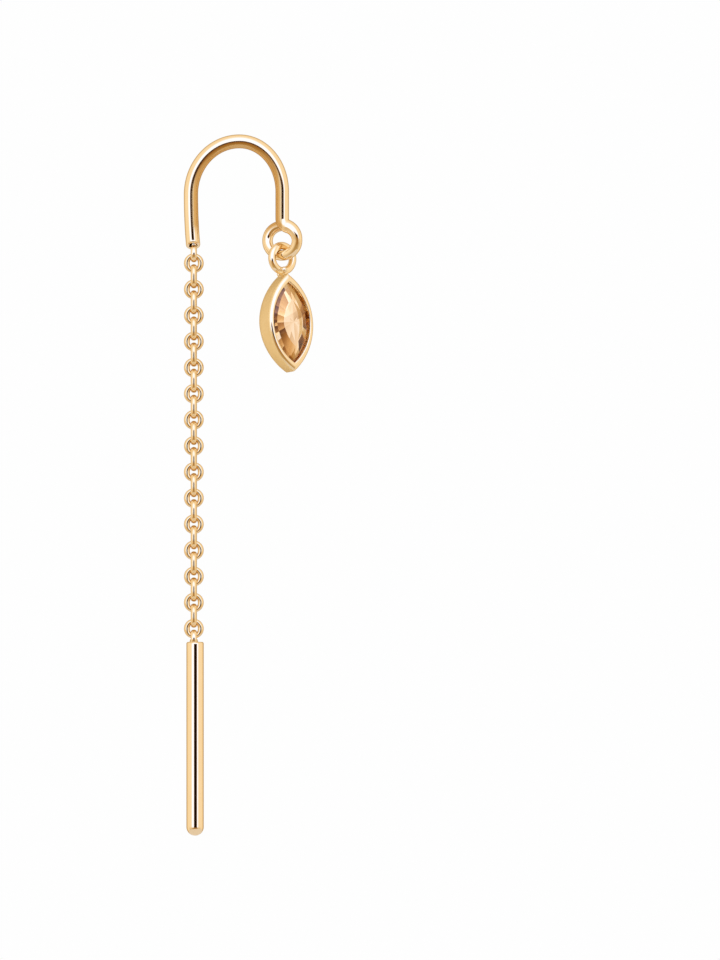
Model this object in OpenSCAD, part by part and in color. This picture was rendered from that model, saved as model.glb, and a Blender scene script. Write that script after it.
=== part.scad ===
// Threader earring: an ear hook, a fine chain that ends in a slim bar, and a swinging marquise drop.
// The origin is the underside of the hook's crown. +X runs to the drop, -Y to the viewer, +Z up.

/* [Ear hook] */
// Wire diameter of the hook where the chain hangs
hook_wire_d = 0.82; // [0.7:0.01:0.9]
// Wire diameter of the hook's leg on the side of the drop
drop_leg_d = 0.78; // [0.7:0.01:0.86]
// Distance from the crown to the centre line of the chain's leg
chain_leg_x = 2.79; // [2.4:0.01:3.4]
// Distance from the crown to the centre line of the drop's leg
drop_leg_x = 2.455; // [2.2:0.005:3]
// Height of the arch over the chain's leg, on the centre line
chain_arch_h = 3.05; // [2.4:0.01:3.8]
// Height of the arch over the drop's leg, on the centre line
drop_arch_h = 2.88; // [2.4:0.01:3.8]
// Length of the chain's leg below the arch
chain_leg_l = 2.965; // [2:0.005:4]
// Angle that the chain's leg has turned inwards at its foot
chain_leg_lean = 5; // [1:0.5:8]
// Length of the drop's straight leg below the arch
drop_leg_l = 1.57; // [1:0.01:2.5]

/* [Foot of the chain's leg] */
// Angle of the slanted end face
foot_slant = 29; // [10:1:32]
// Radius of the rounded lip round the end face
foot_lip = 0.07; // [0.04:0.01:0.1]
// Diameter of the drilled hole in the end face
foot_bore_d = 0.5; // [0.42:0.01:0.54]
// Depth of the drilled hole
foot_bore_depth = 0.34; // [0.25:0.01:0.5]

/* [End loop of the hook] */
// Radius of the loop on its centre line, seen from the front
loop_r = 0.855; // [0.8:0.005:1.1]
// Wire diameter round the loop
loop_wire_d = 0.61; // [0.56:0.01:0.64]
// Radius of the bend from the leg into the loop
loop_bend_r = 0.47; // [0.42:0.01:0.55]
// Angle that the wire turns round the loop
loop_turn = 328; // [310:1:335]
// Angle that the loop faces away from the front
loop_yaw = 22.8; // [18:0.1:28]
// How far the loop's free end lies behind its start
loop_rise = 0.63; // [0.6:0.01:0.8]

/* [Chain] */
// Wire diameter of the links at their sides
chain_wire_d = 0.34; // [0.28:0.01:0.36]
// Thickness of the wire at the links' ends, where they bear on each other
link_end_t = 0.245; // [0.2:0.005:0.26]
// Outer width of every link
link_w = 1.14; // [1.08:0.01:1.3]
// Outer length of the links that face the front
round_link_l = 1.123; // [1.08:0.001:1.4]
// Outer length of the links that stand edge on
oval_link_l = 1.397; // [1.3:0.001:1.7]
// Outer width of the two soldered eyes
eye_w = 0.96; // [0.94:0.01:0.99]
// Outer length of the two soldered eyes
eye_l = 1.02; // [1:0.01:1.1]
// Number of links that face the front
round_links = 15; // [8:1:18]
// Clearance between one link and the next
link_clear = 0.02; // [0.015:0.005:0.04]

/* [Threader bar] */
// Diameter of the bar
bar_d = 1.0; // [0.8:0.05:1.2]
// Length of the bar
bar_l = 11.13; // [8:0.01:16]
// Radius of the rounded upper edge
bar_edge_r = 0.1; // [0.05:0.01:0.15]
// How far the bar's axis lies beside its soldered eye
bar_offset = 0.07; // [0:0.01:0.12]

/* [Ring of the drop] */
// Radius of the ring on its centre line
ring_r = 0.73; // [0.71:0.005:0.76]
// Wire diameter of the ring
ring_wire_d = 0.44; // [0.4:0.01:0.45]
// Angle that the ring faces away from the front
ring_yaw = 37; // [34:0.5:44]
// Clearance between the loop's wire and the ring that hangs on it
ring_clear = 0.035; // [0.03:0.005:0.05]

/* [Marquise setting] */
// Length of the setting
setting_l = 5.64; // [5.5:0.01:6.2]
// Width of the setting
setting_w = 2.91; // [2.85:0.01:3.3]
// Depth of the setting from front to back
setting_depth = 1.32; // [1.28:0.01:1.6]
// Width of the rim beside the window
rim_side = 0.275; // [0.25:0.005:0.3]
// Width of the rim at the two points of the window
rim_tip = 0.485; // [0.4:0.005:0.5]
// Thickness of the rim that is turned over the stone
rim_t = 0.12; // [0.08:0.01:0.14]
// Angle that the setting faces away from the front
setting_yaw = 30; // [20:1:34]
// Angle that the drop leans sideways as it hangs
drop_lean = 4.1; // [0:0.1:5]
// Depth that the ring is soldered into the point of the setting
solder_sink = 0.03; // [0.03:0.01:0.08]
// How far the ring stands in front of the setting's middle, so that the drop hangs plumb
ring_forward = 0.03; // [0:0.01:0.1]
// Depth of the stone's ledge below the girdle
ledge_below = 0.2; // [0.18:0.01:0.3]
// Width of the stone's ledge
ledge_w = 0.18; // [0.1:0.01:0.2]

/* [Stone] */
// Length of the stone
stone_l = 5.0; // [4.9:0.01:5.1]
// Width of the stone
stone_w = 2.5; // [2.45:0.01:2.55]
// Height of the crown above the girdle
crown_h = 0.42; // [0.36:0.01:0.46]
// Thickness of the girdle
girdle_t = 0.07; // [0.04:0.01:0.09]
// Depth of the pavilion below the girdle
pavilion_h = 0.95; // [0.8:0.01:1]
// Share of the stone's width that its table takes
table_share = 0.44; // [0.38:0.01:0.5]
// Clearance between the stone and its setting
stone_clear = 0.02; // [0.02:0.005:0.03]

/* [Hidden] */
gold = [0.93, 0.72, 0.42];
champagne = [0.93, 0.74, 0.52, 0.7];
// Sides of the swept hook wire, angle between its rings in the arch, and number of rings elsewhere
hook_sides = 20;
arch_step = 6;
bend_rings = 7;
loop_rings = 34;
// Share of the loop's turn over which the wire thins from the leg to the loop
thinning = 0.2;
// How far the loop's rise gathers at the middle of its turn, from 0 for none to 1
rise_gather = 0.5;
// Places of the rings along the chain's leg, as shares of it from the arch to the foot
leg_ring_shares = [0.82, 0.6, 0.3];
$fn = 64;

chain_end_z = hook_wire_d / 2 - chain_arch_h;
drop_end_z = hook_wire_d / 2 - drop_arch_h;
lean_arc_r = chain_leg_l / (chain_leg_lean * PI / 180);
foot_dir = [-sin(chain_leg_lean), 0, cos(chain_leg_lean)];

// The eye that carries the chain is let into the foot, and its twin stands on top of the bar
eye_in_foot = 0.08;
eye_over_bar = 0.71;
// Solder round the low eye: its height, its width at the bar and above, and how far it spreads to
// the front and the back, as a share of its width
collar_h = 0.15;
collar_d = 0.5;
collar_top_d = 0.42;
collar_spread = 1.6;

round_in = round_link_l - 2 * link_end_t;
oval_in = oval_link_l - 2 * link_end_t;
half_pitch = (round_in + oval_in) / 2 - link_clear;
link_count = 2 * round_links - 1;

function foot_centre() =
    [-chain_leg_x + lean_arc_r * (1 - cos(chain_leg_lean)), 0,
     chain_end_z - lean_arc_r * sin(chain_leg_lean)];

chain_x = foot_centre()[0] + (eye_l / 2 - eye_in_foot) * tan(chain_leg_lean);
top_eye_z = foot_centre()[2] + eye_in_foot - eye_l / 2;
// From the middle of an eye to the middle of the front-facing link that it holds
eye_pitch = (eye_l + round_in) / 2 - link_end_t - link_clear;
first_link_z = top_eye_z - eye_pitch;
last_link_z = first_link_z - (link_count - 1) * half_pitch;
low_eye_z = last_link_z - eye_pitch;
bar_top_z = low_eye_z + eye_l / 2 - eye_over_bar;

// The bend leaves the leg and meets the loop where both run the same way
bend_turn = acos(loop_bend_r / (loop_r + loop_bend_r));
bend_z = drop_end_z - drop_leg_l;
loop_z = bend_z - (loop_r + loop_bend_r) * sin(bend_turn);

// Share of the loop's turn that lies before its lowest point
foot_share = (90 + bend_turn) / loop_turn;
// Direction of the wire at the loop's lowest point, seen from above
hinge_slope = tan(loop_yaw) + loop_rise * rise_rate(foot_share) / (loop_turn * PI / 180 * loop_r);
hinge_x = drop_leg_x;
hinge_y = loop_rise * rise_share(foot_share);
hinge_z = loop_z - loop_r;

ring_z = hinge_z + loop_wire_d / 2 + ring_wire_d / 2 + ring_clear - ring_r;
// Front of the rim, from the middle of the ring
rim_y = ring_forward - setting_depth / 2;
setting_z = -ring_r - ring_wire_d / 2 + solder_sink - setting_l / 2;
// The drop leans along the hinge, so its weight hangs straight under it
drop_pitch = atan(tan(drop_lean) * hinge_slope);

window_l = setting_l - 2 * rim_tip;
window_w = setting_w - 2 * rim_side;
crown_slope = atan(crown_h / (stone_w / 2 * (1 - table_share)));
// Space between the rim and the girdle, where the crown rises under the rim at its points
rim_space = stone_clear + (stone_l - window_l) / 2 * tan(crown_slope);
girdle_depth = rim_t + rim_space;
ledge_depth = girdle_depth + girdle_t + ledge_below;
facet_reach = 10;

function link_name(i) = str("chain_link_", i < 10 ? "0" : "", i);
function unit(v) = v / norm(v);

// Share of the loop's rise at a share of its turn, steepest at the middle, and its rate
function rise_share(t) = t - rise_gather * sin(360 * t) / (2 * PI);
function rise_rate(t) = 1 - rise_gather * cos(360 * t);

// Each station of the swept wire is [centre, radius, slant of its ring]
function foot_stations() =
    [for (q = [0 : 30 : 90])
        [foot_centre() + foot_lip * (1 - cos(q)) * foot_dir,
         hook_wire_d / 2 - foot_lip * (1 - sin(q)),
         foot_slant]];

function leg_stations() =
    [for (share = leg_ring_shares)
        let (q = chain_leg_lean * share)
        [[-chain_leg_x + lean_arc_r * (1 - cos(q)), 0, chain_end_z - lean_arc_r * sin(q)],
         hook_wire_d / 2, 0]];

function arch_stations() = concat(
    [for (q = [0 : arch_step : 90 - arch_step])
        [[-chain_leg_x * cos(q), 0, chain_end_z + chain_arch_h * sin(q)], arch_radius(q), 0]],
    [for (q = [90 : arch_step : 180])
        [[-drop_leg_x * cos(q), 0, drop_end_z + drop_arch_h * sin(q)], arch_radius(q), 0]]
);
function arch_radius(q) = (hook_wire_d + (drop_leg_d - hook_wire_d) * q / 180) / 2;

function loop_y(x, t) = loop_rise * rise_share(t) - (x - drop_leg_x) * tan(loop_yaw);

function bend_start() = [[drop_leg_x, 0, bend_z], drop_leg_d / 2, 0];

function bend_stations() =
    [for (i = [1 : bend_rings - 1])
        let (q = bend_turn * i / bend_rings, x = drop_leg_x + loop_bend_r * (1 - cos(q)))
        [[x, loop_y(x, 0), bend_z - loop_bend_r * sin(q)], drop_leg_d / 2, 0]];

function loop_radius(t) = (loop_wire_d + (drop_leg_d - loop_wire_d) * max(0, 1 - t / thinning)) / 2;

function loop_point(t) =
    let (a = bend_turn - loop_turn * t, x = drop_leg_x + loop_r * cos(a))
    [x, loop_y(x, t), loop_z + loop_r * sin(a)];

function loop_stations() =
    [for (i = [0 : loop_rings])
        let (t = i / loop_rings) [loop_point(t), loop_radius(t), 0]];

// The free end of the loop is rounded over
function loop_end_stations() =
    let (along = unit(loop_point(1) - loop_point(1 - 1 / loop_rings)))
    [for (q = [30 : 30 : 60])
        [loop_point(1) + loop_wire_d / 4 * sin(q) * along, loop_wire_d / 4 * (1 + cos(q)), 0]];

function hook_stations() = concat(
    foot_stations(), leg_stations(), arch_stations(), [bend_start()],
    bend_stations(), loop_stations(), loop_end_stations()
);

function wire_ring(centre, along, r, slant) =
    let (v = unit([0, 1, 0] - along[1] * along), u = cross(v, along))
    [for (k = [0 : hook_sides - 1])
        let (a = 360 * k / hook_sides)
        centre + r * (cos(a) * u + sin(a) * v - sin(a) * tan(slant) * along)];

module swept_wire(stations) {
    last = len(stations) - 1;
    points = [for (i = [0 : last])
        let (along = unit(stations[min(i + 1, last)][0] - stations[max(i - 1, 0)][0]))
        each wire_ring(stations[i][0], along, stations[i][1], stations[i][2])];
    walls = [for (i = [0 : last - 1], k = [0 : hook_sides - 1])
        let (a = i * hook_sides, n = (k + 1) % hook_sides)
        each [[a + k, a + hook_sides + k, a + n], [a + n, a + hook_sides + k, a + hook_sides + n]]];
    caps = [
        [for (k = [0 : hook_sides - 1]) k],
        [for (k = [hook_sides - 1 : -1 : 0]) last * hook_sides + k]
    ];
    polyhedron(points = points, faces = concat(walls, caps), convexity = 6);
}

// A ring of wire in the XZ plane
module wire_ring_solid(r, d) {
    rotate([90, 0, 0])
        rotate_extrude()
            translate([r, 0]) circle(d = d);
}

// Section of the links' wire: as thick as a link's end in the link's plane, and full across it
module link_section() {
    scale([link_end_t / chain_wire_d, 1]) circle(d = chain_wire_d);
}

// Upper half of a link: its bend, and the upper half of its straight sides
module half_link(bend_r, side_l) {
    translate([0, 0, side_l / 2])
        rotate([90, 0, 0])
            rotate_extrude(angle = 180)
                translate([bend_r, 0]) link_section();
    for (side = [-1, 1])
        translate([side * bend_r, 0, 0])
            linear_extrude(side_l / 2) link_section();
}

// A link in the XZ plane round its own centre, stretched sideways until its sides are side_t thick
module link(inner_l, outer_w, side_t) {
    stretch = side_t / link_end_t;
    bend_r = (outer_w - side_t) / 2 / stretch;
    side_l = inner_l + link_end_t - 2 * bend_r;
    scale([stretch, 1, 1])
        for (down = [0, 1])
            mirror([0, 0, down]) half_link(bend_r, side_l);
}

// The eye stands edge on to the viewer
module eye(z) {
    translate([chain_x, 0, z])
        rotate([0, 0, 90]) link(eye_l - 2 * link_end_t, eye_w, link_end_t);
}

module ear_hook() {
    color(gold) {
        difference() {
            swept_wire(hook_stations());
            translate(foot_centre())
                rotate([0, -chain_leg_lean, 0])
                    translate([0, 0, -hook_wire_d])
                        cylinder(h = hook_wire_d + foot_bore_depth, d = foot_bore_d);
        }
        // The eye's shank is soldered into the end of the drilled hole
        translate([chain_x, 0, top_eye_z + (eye_l - link_end_t) / 2])
            cylinder(h = foot_bore_depth - eye_in_foot + link_end_t, d = chain_wire_d);
        eye(top_eye_z);
    }
}

// Odd links face the front and even ones stand edge on
module chain_link(i) {
    facing = i % 2 == 1;
    color(gold)
        translate([chain_x, 0, first_link_z - (i - 1) * half_pitch])
            rotate([0, 0, facing ? 0 : 90])
                link(facing ? round_in : oval_in, link_w, chain_wire_d);
}

// Half outline of the bar, turned about its axis
module bar_profile() {
    r = bar_d / 2;
    square_top = bar_l - bar_edge_r;
    translate([0, r]) square([r, square_top - r]);
    translate([0, square_top]) square([r - bar_edge_r, bar_edge_r]);
    intersection() {
        translate([r - bar_edge_r, square_top]) circle(r = bar_edge_r);
        translate([0, square_top]) square([r, bar_edge_r]);
    }
    intersection() {
        translate([0, r]) circle(r = r);
        square([r, r]);
    }
}

module threader_bar() {
    color(gold) {
        translate([chain_x + bar_offset, 0, bar_top_z - bar_l])
            rotate_extrude() bar_profile();
        eye(low_eye_z);
        translate([chain_x, 0, bar_top_z])
            scale([1, collar_spread, 1]) cylinder(h = collar_h, d1 = collar_d, d2 = collar_top_d);
    }
}

// Radius of the two arcs of a pointed oval
function marquise_arc_r(l, w) = (l * l + w * w) / (4 * w);

// Pointed oval of two arcs, with its points along Y
module marquise(l, w) {
    arc_r = marquise_arc_r(l, w);
    intersection_for (side = [-1, 1])
        translate([side * (arc_r - w / 2), 0]) circle(r = arc_r, $fn = 180);
}

// Pointed oval plate between two depths behind the front of the rim
module marquise_plate(l, w, front, back) {
    translate([0, rim_y + back, setting_z])
        rotate([90, 0, 0])
            linear_extrude(back - front) marquise(l, w);
}

// Places the drop so that it hangs from the loop
module hang_drop() {
    translate([hinge_x, hinge_y, ring_z])
        rotate([-drop_pitch, -drop_lean, 0])
            children();
}

// Solder beads on the ring: [sideways, backwards, down, diameter], as shares of the ring's radius
solder_beads = [
    [0.10, -0.03, 0.96, 0.66],
    [-0.06, 0.36, 1.22, 0.40]
];

module drop_setting() {
    color(gold) hang_drop() {
        rotate([0, 0, ring_yaw]) wire_ring_solid(ring_r, ring_wire_d);
        rotate([0, 0, setting_yaw]) {
            for (bead = solder_beads)
                translate([bead[0], bead[1], -bead[2]] * ring_r)
                    sphere(d = bead[3] * ring_r);
            difference() {
                marquise_plate(setting_l, setting_w, 0, setting_depth);
                marquise_plate(window_l, window_w, -rim_t, 2 * rim_t);
                marquise_plate(
                    stone_l + 2 * stone_clear, stone_w + 2 * stone_clear, rim_t, ledge_depth
                );
                marquise_plate(
                    stone_l - 2 * ledge_w, stone_w - 2 * ledge_w, rim_t, setting_depth + rim_t
                );
            }
        }
    }
}

// Half space that a facet cuts away. Its plane leans from the girdle by the slope, and faces the
// azimuth. It passes over the point (x, y) at the height z of the stone's own frame.
module facet_cut(x, y, z, azimuth, slope) {
    translate([x, y, z])
        rotate([0, slope, azimuth])
            translate([-facet_reach / 2, -facet_reach / 2, 0])
                cube([facet_reach, facet_reach, facet_reach]);
}

// Facets round one quarter: [azimuth of the facet, share of the slope over the belly]
crown_facets = [[0, 1.0], [12, 1.16], [24, 1.13], [36, 0.86], [47, 0.98], [90, 0.66]];
pavilion_facets = [[0, 1.0], [13, 1.05], [27, 0.98], [38, 0.86], [49, 0.94], [90, 0.62]];

// Point of the girdle where the outline faces the azimuth, or its tip for a steeper one
function girdle_point(azimuth) =
    let (arc_r = marquise_arc_r(stone_l, stone_w))
    arc_r * sin(azimuth) > stone_l / 2
        ? [0, stone_l / 2]
        : [arc_r * cos(azimuth) - arc_r + stone_w / 2, arc_r * sin(azimuth)];

module facet_round(facets, slope, z) {
    for (facet = facets, mx = [0, 1], my = [0, 1])
        mirror([mx, 0, 0]) mirror([0, my, 0]) {
            p = girdle_point(facet[0]);
            facet_cut(p[0], p[1], z, facet[0], slope * facet[1]);
        }
}

// The stone in its own frame: table up, girdle at z = 0, points along Y
module cut_stone() {
    pavilion_slope = atan(pavilion_h / (stone_w / 2));
    difference() {
        translate([0, 0, -girdle_t - pavilion_h])
            linear_extrude(crown_h + girdle_t + pavilion_h) marquise(stone_l, stone_w);
        facet_round(crown_facets, crown_slope, 0);
        mirror([0, 0, 1]) facet_round(pavilion_facets, pavilion_slope, girdle_t);
    }
}

module stone() {
    color(champagne) hang_drop()
        rotate([0, 0, setting_yaw])
            translate([0, rim_y + girdle_depth, setting_z])
                rotate([90, 0, 0]) hull() cut_stone();
}

ear_hook();
for (i = [1 : link_count])
    chain_link(i);
threader_bar();
drop_setting();
stone();
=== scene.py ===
"""Dresses the threader earring: hook, chain, bar, marquise setting and stone, on a plain stage."""

import itertools
import math

import bmesh
import bpy
from mathutils import Matrix, Vector


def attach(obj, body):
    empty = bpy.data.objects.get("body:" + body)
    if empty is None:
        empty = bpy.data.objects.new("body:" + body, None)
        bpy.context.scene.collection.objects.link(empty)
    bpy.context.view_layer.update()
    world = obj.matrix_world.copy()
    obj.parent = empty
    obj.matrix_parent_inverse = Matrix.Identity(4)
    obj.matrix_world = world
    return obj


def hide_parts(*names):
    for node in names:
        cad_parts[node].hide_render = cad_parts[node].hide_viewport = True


bl_info = {
    "name": "Threader Earring",
    "version": (1, 0, 0),
    "blender": (4, 5, 0),
    "location": "View3D > Sidebar > Earring",
    "description": "Builds a threader earring with a fine chain and a marquise drop",
    "category": "Object",
}

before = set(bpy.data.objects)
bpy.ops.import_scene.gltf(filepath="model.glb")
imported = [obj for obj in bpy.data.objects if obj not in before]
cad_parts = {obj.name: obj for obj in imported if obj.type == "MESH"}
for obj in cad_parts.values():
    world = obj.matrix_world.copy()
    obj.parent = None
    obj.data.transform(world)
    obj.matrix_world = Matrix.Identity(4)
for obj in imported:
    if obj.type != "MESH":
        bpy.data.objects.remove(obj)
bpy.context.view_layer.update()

MM = 0.001
HANGING = "hook_and_chain"
DROP = "drop"

# Points nearer than this are the same point
NEAR = 1e-7
# Segments round a wire, and along and round a link
WIRE_SIDES = 40
LINK_SEGMENTS = 64
LINK_SIDES = 28
# Segments of the circle that a marquise's arcs are cut from
ARC_SEGMENTS = 360
# Steps along the hook: its leaning leg, arch, straight leg, bend and loop
LEG_STEPS = 24
ARCH_STEPS = 120
STRAIGHT_STEPS = 8
BEND_STEPS = 16
LOOP_STEPS = 96
# Share of the loop over which its wire thins, and how unevenly the loop rises
THINNING = 0.2
RISE_SWAY = 0.5
# Height of the short ring of wall that keeps the shading straight beside a rounded end
SUPPORT = 0.03 * MM
# How far the setting sinks into its ring and lies in front of it, and the ring's gap to the loop
SINK = 0.03 * MM
FORWARD = 0.03 * MM
RING_GAP = 0.035 * MM
# Rounding of the setting's back edge beside its points, as a share of that at the points
BACK_SIDE_SHARE = 0.1

# Solder beads as shares of the ring's radius: sideways, backwards, down and diameter
SOLDER_BEADS = ((-0.19, -0.50, 0.93, 0.48), (0.0, 0.05, 1.08, 0.60), (0.0, 0.66, 1.22, 0.38))

# Facets as (azimuth in degrees, slope as a share of the main slope, place between keel and girdle)
CROWN_FACETS = (
    (0, 1.0, 1), (12, 1.16, 1), (24, 1.13, 1), (36, 0.86, 1), (47, 0.98, 1), (90, 0.66, 1),
)
PAVILION_FACETS = (
    (0, 1.0, 1), (13, 1.05, 1), (27, 0.98, 1), (38, 0.86, 1), (49, 0.94, 1), (90, 0.62, 1),
    (7, 0.66, 0.62), (33, 0.62, 0.6), (58, 0.60, 0.55), (90, 0.42, 0.5),
)

# Gold finishes: colour, roughness, change of tone, waves, lines and height of the relief
GOLDS = {
    "Polished gold": ("gold", 0.055, 0.10, 0.5, 0.05, 1.2e-6),
    "Hook gold": ("gold", 0.055, 0.10, 0.5, 0.05, 1.2e-6),
    "Chain gold": ("chain", 0.065, 0.14, 0.3, 0.05, 0.8e-6),
    "Satin gold": ("satin", 0.33, 0.22, 0.9, 0.12, 9e-6),
    "Rim gold": ("gold", 0.08, 0.10, 0.5, 0.05, 2e-6),
    # Painted light: the seat's gold is a lighter copy of the polished gold
    "Bright gold": ("seat", 0.14, 0.10, 0.5, 0.05, 2e-6),
    "Soldered gold": ("solder", 0.16, 0.20, 0.8, 0.20, 8e-6),
}

# The arch's inner side, darkened with painted shade: its edge as a share of the arch's radius, its
# lower end in millimetres, how much rougher it is, and the blend between its two halves
INNER_SHADE_EDGE = (1.02, 0.975)
INNER_SHADE_END = (-5.0, -4.3)
INNER_SHADE_ROUGHNESS = 0.12
HALVES_BLEND = 0.001

# Rings of the stone's pattern: where they begin between keel (0) and girdle (1)
STAR_EDGE = 0.2
TABLE_EDGE = 0.5
GIRDLE_EDGE = 0.76
# How much shorter the table is than its ring, the sectors' stretch, their number and seed
TABLE_TAPER = 0.6
SECTOR_STRETCH = 1.8
STAR_SECTORS = 8.0
MORE_SECTORS = 6.0
PATTERN_SEED = 3.0
# Painted light: a change of tone within a sector, and from the left side to the right, which is
# painted lighter
SECTOR_SLOPE = 0.25
SIDE_LIGHT = 0.22
# Painted reflections and glints: the sectors' tones under the table and beside it, from dark to
# white
UNDER_TABLE = (
    (0.0, (0.62, 0.46, 0.30)), (0.3, (0.88, 0.76, 0.62)), (0.6, (1.0, 0.95, 0.88)),
    (0.85, (1.0, 1.0, 1.0)),
)
BESIDE_TABLE = (
    (0.0, (0.12, 0.045, 0.012)), (0.3, (0.40, 0.20, 0.07)), (0.55, (0.72, 0.47, 0.22)),
    (0.74, (0.95, 0.80, 0.56)), (0.84, (1.0, 1.0, 1.0)),
)

# The studio's light by direction. Its fields fade in from the first limit to the second, as
# parts of a unit vector: front is towards the lens, across to the side, height upwards
WARM_WHITE = (1.02, 0.90, 0.74)
# The tent, from the front (0) to the back (1)
TENT = (
    (0.0, WARM_WHITE), (0.50, WARM_WHITE), (0.62, (0.98, 0.82, 0.61)),
    (0.73, (0.70, 0.52, 0.30)), (0.82, (0.50, 0.35, 0.17)), (1.0, (0.80, 0.66, 0.45)),
)
# The tan table before and below the piece, from level (0) to straight down (1)
TABLE = (
    (0.0, WARM_WHITE), (0.12, (0.80, 0.62, 0.36)), (0.35, (0.46, 0.30, 0.12)),
    (0.75, (0.55, 0.37, 0.16)), (1.0, (0.90, 0.72, 0.45)),
)
TABLE_FRONT = (-0.15, 0.3)
TABLE_SIDES = (0.3, 0.85)
TABLE_FADE = 0.6
TABLE_TOP = (0.02, -0.12)
# The glow round the lens: an oval that brings gold to just white
GLOW = (0.14, 0.50, 1.36)
GLOW_WIDTH = 0.74
GLOW_HEIGHT = 0.98
GLOW_EDGE = (1.15, 0.55)
GLOW_LOW = (-0.17, -0.05)
GLOW_FRONT = (-0.1, 0.2)
# The dark lens, with the brown of its stand round and below it
LENS_ACROSS = 0.105
LENS_SIDES = (0.43, 0.18)
LENS_FRONT = (0.2, 0.5)
LENS_LOW = (-0.48, -0.28)
LENS_TOP = (0.16, 0.02)
STAND = (0.42, 0.22, 0.07)
STAND_RIM = (0.0, 0.45)
DARK = (0.010, 0.004, 0.001)
DARK_RIM = (0.45, 0.8)
DARK_LOW = (-0.22, -0.08)
# Through the stone the tent shows from the back (0) to the front (1) in panels of their own tone
THROUGH = (
    (0.0, (1.20, 1.08, 0.96)), (0.28, (1.12, 0.97, 0.80)), (0.52, (0.92, 0.68, 0.42)),
    (0.75, (0.80, 0.52, 0.26)), (1.0, (0.66, 0.40, 0.18)),
)
PANELS = ((0.0, (0.80, 0.74, 0.66)), (0.5, (1.0, 1.0, 1.0)), (1.0, (1.25, 1.35, 1.45)))
PANEL_SCALE = 3.2
BACKDROP = (0.992, 0.992, 0.992)


def length(name, description, millimetres):
    """A length property, given in millimetres and kept in metres."""
    return bpy.props.FloatProperty(
        name=name, description=description, default=millimetres * MM,
        unit="LENGTH", subtype="DISTANCE", precision=6,
    )


def angle(name, description, degrees):
    """An angle property, given in degrees and kept in radians."""
    return bpy.props.FloatProperty(
        name=name, description=description, default=math.radians(degrees),
        unit="ROTATION", subtype="ANGLE",
    )


def colour(name, description, red, green, blue):
    """A colour property in linear light."""
    return bpy.props.FloatVectorProperty(
        name=name, description=description, default=(red, green, blue),
        subtype="COLOR", size=3, min=0.0, max=1.0,
    )


class HookSizes(bpy.types.PropertyGroup):
    chain_leg_d: length("Chain leg wire", "Wire diameter where the chain hangs", 0.82)
    drop_leg_d: length("Drop leg wire", "Wire diameter where the drop hangs", 0.78)
    loop_d: length("Loop wire", "Wire diameter round the end loop", 0.61)
    chain_leg_x: length("Chain leg reach", "Crown to the chain's leg", 2.79)
    drop_leg_x: length("Drop leg reach", "Crown to the drop's leg", 2.455)
    chain_arch_h: length("Chain side height", "Height of the arch over the chain's leg", 3.05)
    drop_arch_h: length("Drop side height", "Height of the arch over the drop's leg", 2.88)
    chain_leg_l: length("Chain leg length", "Length of the leg below the arch", 2.965)
    drop_leg_l: length("Drop leg length", "Length of the straight leg below the arch", 1.57)
    lean: angle("Lean", "Turn of the chain's leg at its foot", 5.0)
    slant: angle("Foot slant", "Slant of the end face of the foot", 29.0)
    lip: length("Foot lip", "Rounding round the end face of the foot", 0.07)
    bore_d: length("Foot bore", "Diameter of the hole in the foot", 0.5)
    bore_depth: length("Bore depth", "Depth of the hole in the foot", 0.34)
    loop_r: length("Loop radius", "Radius of the end loop on its centre line", 0.855)
    bend_r: length("Bend radius", "Radius of the bend into the loop", 0.47)
    loop_turn: angle("Loop turn", "Angle that the wire turns round the loop", 328.0)
    loop_yaw: angle("Loop yaw", "Angle that the loop faces away from the front", 22.8)
    loop_rise: length("Loop rise", "How far the free end lies behind the start", 0.63)


class ChainSizes(bpy.types.PropertyGroup):
    wire_d: length("Link wire", "Wire diameter of the links at their sides", 0.34)
    end_t: length("Link ends", "Thickness of the wire at the links' ends", 0.245)
    width: length("Link width", "Outer width of every link", 1.14)
    round_l: length("Round link length", "Outer length of the links that face the front", 1.123)
    oval_l: length("Oval link length", "Outer length of the links that stand edge on", 1.397)
    eye_w: length("Eye width", "Outer width of the two soldered eyes", 0.96)
    eye_l: length("Eye length", "Outer length of the two soldered eyes", 1.02)
    eye_in_foot: length("Eye in the foot", "How far the upper eye is let into the foot", 0.08)
    eye_over_bar: length("Eye over the bar", "How far the lower eye stands over the bar", 0.71)
    clearance: length("Clearance", "Space between one link and the next", 0.02)
    links: bpy.props.IntProperty(
        name="Links", description="Number of free links", default=29, min=1,
    )


class BarSizes(bpy.types.PropertyGroup):
    diameter: length("Bar diameter", "Diameter of the threader bar", 1.0)
    length: length("Bar length", "Length of the threader bar", 11.13)
    edge_r: length("Upper edge", "Rounding of the upper edge", 0.1)
    offset: length("Offset", "How far the bar's axis lies beside its eye", 0.07)
    collar_h: length("Collar height", "Height of the solder round the bar's eye", 0.15)
    collar_d: length("Collar width", "Width of that solder at the bar", 0.5)
    collar_top_d: length("Collar top", "Width of that solder at its top", 0.42)
    collar_spread: bpy.props.FloatProperty(
        name="Collar spread", description="Depth of that solder as a share of its width",
        default=1.6, min=1.0, max=2.0,
    )


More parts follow.
